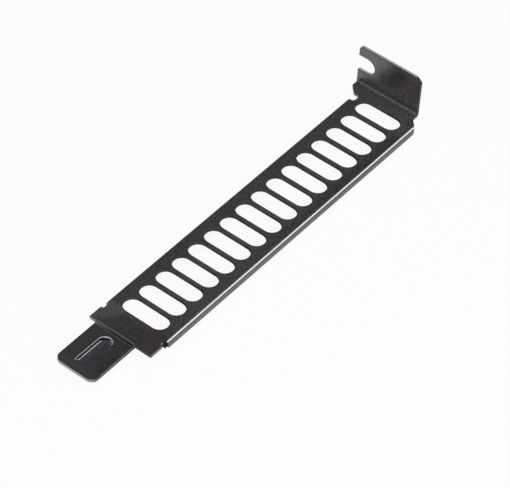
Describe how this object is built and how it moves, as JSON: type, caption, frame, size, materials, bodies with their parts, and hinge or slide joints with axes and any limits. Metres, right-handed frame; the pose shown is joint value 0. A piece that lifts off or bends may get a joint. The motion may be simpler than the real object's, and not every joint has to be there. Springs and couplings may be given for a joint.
{
  "type": "pci slot cover bracket",
  "caption": "Folded sheet-steel cover for an unused expansion slot, with vent slots, side flanges, a notched screw tab and a stepped tongue with a lanced spring.",
  "frame": {"origin": "middle of the bounding box's bottom, on the plane that the cover lies on", "axes": "+Y runs along the panel from the tongue to the tab, +Z out of the panel's outer face, and +X to the right looking along +Y"},
  "size_m": [0.0212, 0.12, 0.0154],
  "materials": {
    "coated_steel": "satin black coating over steel"
  },
  "bodies": {
    "root": {"slot_cover": "coated_steel"}
  },
  "joints": []
}
